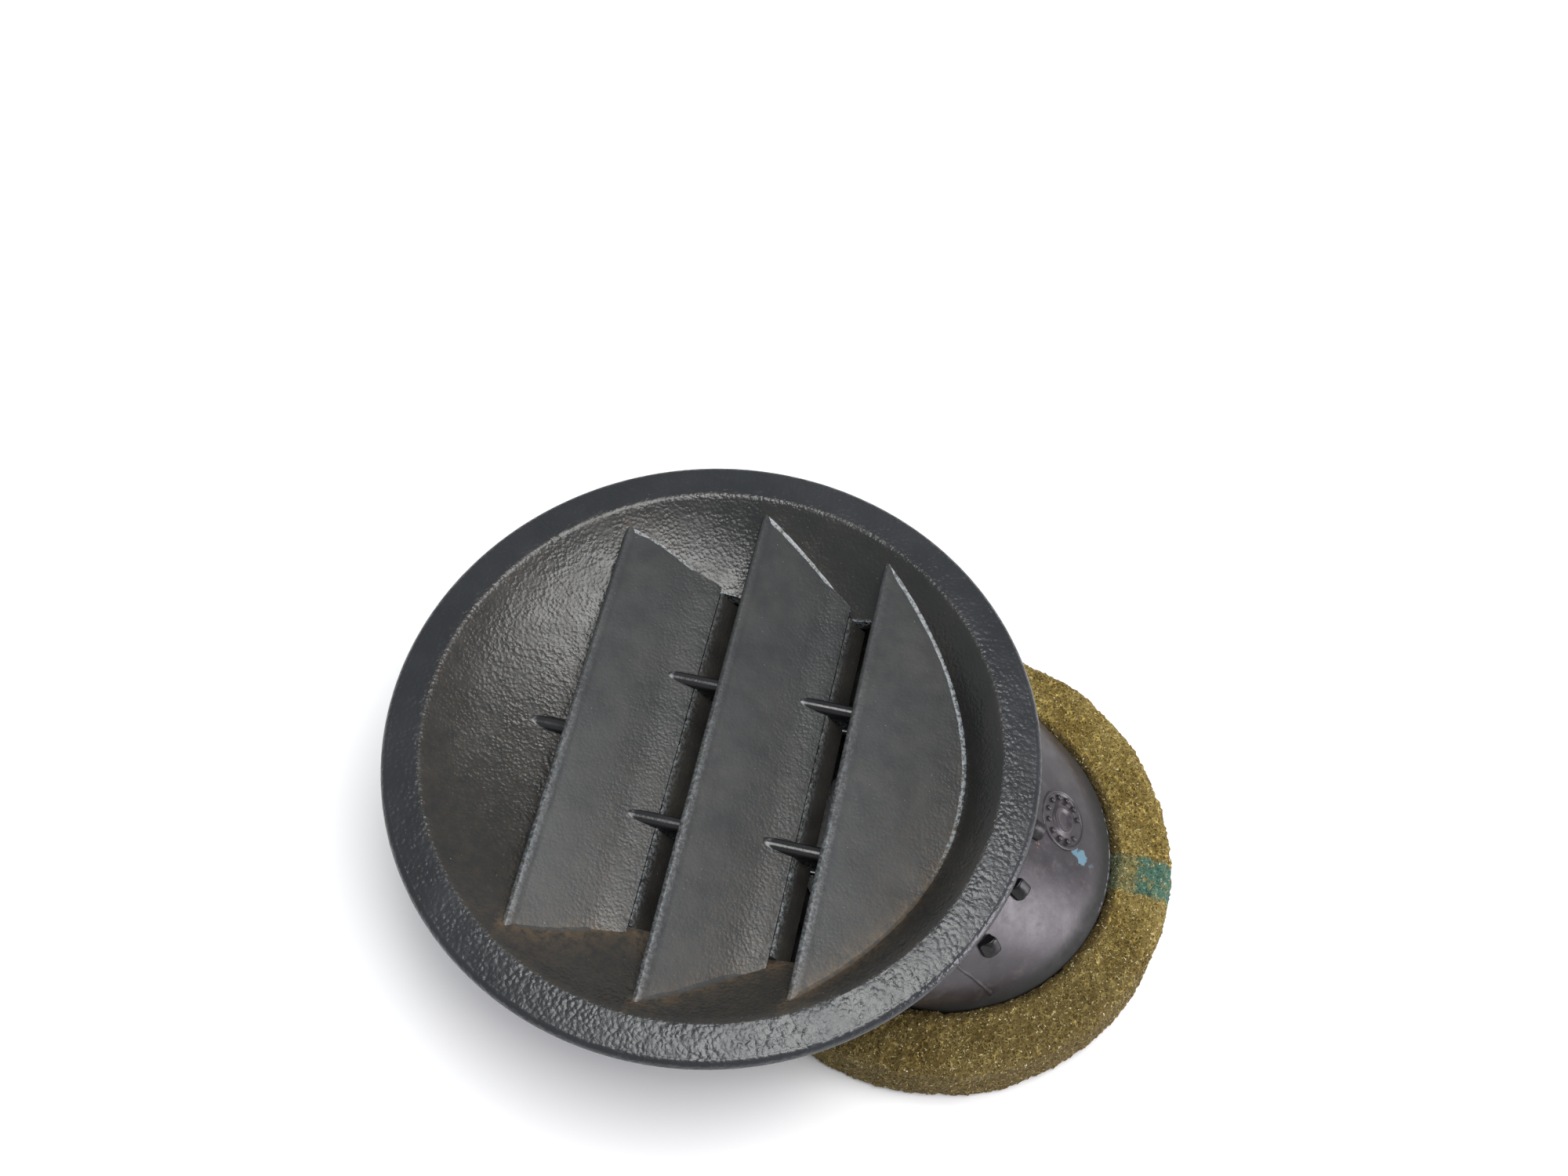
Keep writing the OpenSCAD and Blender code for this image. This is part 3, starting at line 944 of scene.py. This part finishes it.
# ---- foam -------------------------------------------------------------------
def foam_loop():
    """Rounded section of the seal: (radius, height, outward normal) points."""
    r0, r1 = COLLAR_R + 0.05, FOAM_R + 0.15
    z0, z1 = FOAM_BOTTOM + 0.02, FOAM_TOP - 0.05
    corner, brow = 0.9, 1.8
    step = 0.24
    loop = []

    def run(a, b, normal):
        count = max(2, round(math.dist(a, b) / step))
        for k in range(count):
            loop.append((mix(a[0], b[0], k / count), mix(a[1], b[1], k / count), normal))

    def bend(cx, cz, radius, start):
        count = round(radius * 1.57 / step)
        for k in range(count):
            a = math.radians(start + 90 * k / count)
            loop.append((cx + radius * math.cos(a), cz + radius * math.sin(a), (math.cos(a), math.sin(a))))

    run((r0, z0), (r1 - corner, z0), (0, -1))
    bend(r1 - corner, z0 + corner, corner, -90)
    run((r1, z0 + corner), (r1, z1 - brow), (1, 0))
    bend(r1 - brow, z1 - brow, brow, 0)
    run((r1 - brow, z1), (r0 + corner, z1), (0, 1))
    bend(r0 + corner, z1 - corner, corner, 90)
    run((r0, z1 - corner), (r0, z0), (-1, 0))
    return loop


def foam_push(p):
    """How far the torn, open-cell surface stands out at a point, in millimetres."""
    cell = noise.voronoi(p / 0.6)[0][0]
    lump = noise.noise(p * 0.2) * 0.35 + noise.noise(p * 0.9) * 0.16
    return lump + 0.40 * (0.45 - cell)


def make_foam(material):
    """The seal ring, rough outside and smooth where it is glued and where it rests."""
    loop = foam_loop()
    turns = 640
    points, foam_shade, stripe = [], [], []
    for k in range(turns):
        a = 2 * math.pi * k / turns
        for r, z, (nr, nz) in loop:
            here = Vector((r * math.cos(a), r * math.sin(a), z))
            push = foam_push(here)
            if (nr < -0.5 and z < FOAM_TOP - 1.5) or nz < -0.9:
                push = min(push, 0.0) * 0.3
            push = min(push, 0.34) if nr > 0.5 else min(push, 0.14)
            rr, zz = r + nr * push, z + nz * push
            points.append(place(MOUTH_X + rr * math.cos(a), rr * math.sin(a), zz))
            # painted shade: darker against the collar and towards -Y
            inner = smooth_step(COLLAR_R + 1.5, COLLAR_R + 0.5, r)
            foam_shade.append(inner + 0.65 * (1 - inner) * smooth_step(0, -15, rr * math.sin(a)))
            swing = a if a < math.pi else a - 2 * math.pi
            along = swing * r + 0.5 * noise.noise(Vector((r * 0.8, z * 0.8, 1)))
            band = smooth_step(-1.5, -0.8, along) * smooth_step(3.6, 2.9, along)
            stripe.append(band * mix(0.35, 1.0, smooth_step(COLLAR_R + 2.3, COLLAR_R + 3.6, r)))
    faces = grid_faces(turns, len(loop), True, True)
    foam = build("foam_seal_ring", points, faces, material, sharp=180, replaces=["foam_seal"],
                 masks={"foam_shade": foam_shade, "stripe": stripe})
    return foam


# ---- build ------------------------------------------------------------------
BLUE_DAB = place(41.0, 0.1, -9.6)
BLUE_EDGE = place(40.1, 0.35, -8.8)
BLUE_TAIL = place(42.3, -0.25, -10.6)
RUST_SPOT = place(36.0, -1.1, -5.1)
DUCT = smooth_plastic("duct_skin", (0.016, 0.013, 0.016), (0.030, 0.025, 0.030), 0.27)
DUCT_MARKED = smooth_plastic("duct_skin_marked", (0.016, 0.013, 0.016), (0.030, 0.025, 0.030), 0.27,
                             dabs=[(BLUE_TAIL, 0.45, 1.6, (0.045, 0.065, 0.080)),
                                   (BLUE_EDGE, 0.6, 1.2, (0.075, 0.150, 0.200)),
                                   (BLUE_DAB, 0.95, 1.4, (0.080, 0.165, 0.215)),
                                   (RUST_SPOT, 0.5, 2.6, (0.26, 0.13, 0.08))])
# near-black copy of the duct plastic: painted shade on the teeth
TOOTH_SHADED = smooth_plastic("tooth_painted_shade", (0.005, 0.005, 0.006), (0.009, 0.008, 0.009), 0.26, specular=0.3)
FOAM = foam_material("open_cell_foam")

make_bezel()
make_rim()
make_dish()
for index in range(3):
    make_louvre(index)
for index in range(2):
    make_foot(index)
make_ribs()
barrel_shell = make_barrel(DUCT_MARKED)
collar_shell = make_collar(DUCT)
duct_skin = Skin(barrel_shell, collar_shell)
make_teeth(duct_skin, TOOTH_SHADED)
make_stamp(duct_skin, DUCT)
make_bead(duct_skin, DUCT)
make_foam(FOAM)

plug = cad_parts["spigot_ring"]
plug.data.materials.clear()
plug.data.materials.append(SLOT)

# ---- stage ------------------------------------------------------------------
floor_mesh = bpy.data.meshes.new("floor")
corners = [(x * FLOOR_HALF_M, y * FLOOR_HALF_M, 0) for x, y in ((-1, -1), (1, -1), (1, 1), (-1, 1))]
floor_mesh.from_pydata(corners, [], [(0, 1, 2, 3)])
floor_mesh.materials.append(floor_material())
floor = bpy.data.objects.new("floor", floor_mesh)
floor.location.z = min(cad_box[0].z, 0) - 0.0002
bpy.context.scene.collection.objects.link(floor)


def area_light(name, toward, distance, size, watts, colour=(1, 1, 1)):
    """A square soft light that looks at the face from a direction."""
    data = bpy.data.lights.new(name, "AREA")
    data.shape = "SQUARE"
    data.size = size
    data.energy = watts
    data.color = colour
    light = bpy.data.objects.new(name, data)
    direction = Vector(toward).normalized()
    light.location = FACE + direction * distance
    light.rotation_mode = "QUATERNION"
    light.rotation_quaternion = (-direction).to_track_quat("-Z", "Y")
    bpy.context.scene.collection.objects.link(light)


# A broad panel almost overhead, and a small one low on the duct's side.
area_light("overhead", (0.18, -0.01, 0.98), 0.7, 0.42, 4.7, (1.0, 0.998, 0.985))
area_light("side_box", (0.95, -0.10, 0.20), 0.5, 0.22, 1.5, (0.98, 0.92, 1.0))

world = bpy.data.worlds.new("soft_studio")
world.use_nodes = True
world.node_tree.nodes["Background"].inputs["Color"].default_value = (0.93, 0.96, 1.0, 1)
world.node_tree.nodes["Background"].inputs["Strength"].default_value = 0.50
bpy.context.scene.world = world
bpy.context.scene.view_settings.view_transform = "Standard"

# ---- camera -----------------------------------------------------------------
# Placed in flange radii from the centre of the face's front plane.
FRONT_PLANE = 1.2
EYE = Vector((0.692, -2.287, 4.929))
AIM = Vector((0.0953, 0.5728, 0.0))
ROLL = math.radians(-0.85)
FOCAL = 41.29

camera_data = bpy.data.cameras.new("camera")
camera_data.lens = FOCAL
camera_data.sensor_width = 36
camera_data.clip_start = 0.005
camera = bpy.data.objects.new("camera", camera_data)
front = place(0, 0, FRONT_PLANE)
eye = front + EYE * FLANGE_R * MM
aim = front + AIM * FLANGE_R * MM
camera.rotation_mode = "QUATERNION"
camera.location = eye
look = (aim - eye).normalized()
upright = look.to_track_quat("-Z", "Y").to_matrix()
camera.rotation_quaternion = (Matrix.Rotation(ROLL, 3, look) @ upright).to_quaternion()
bpy.context.scene.collection.objects.link(camera)
bpy.context.scene.camera = camera
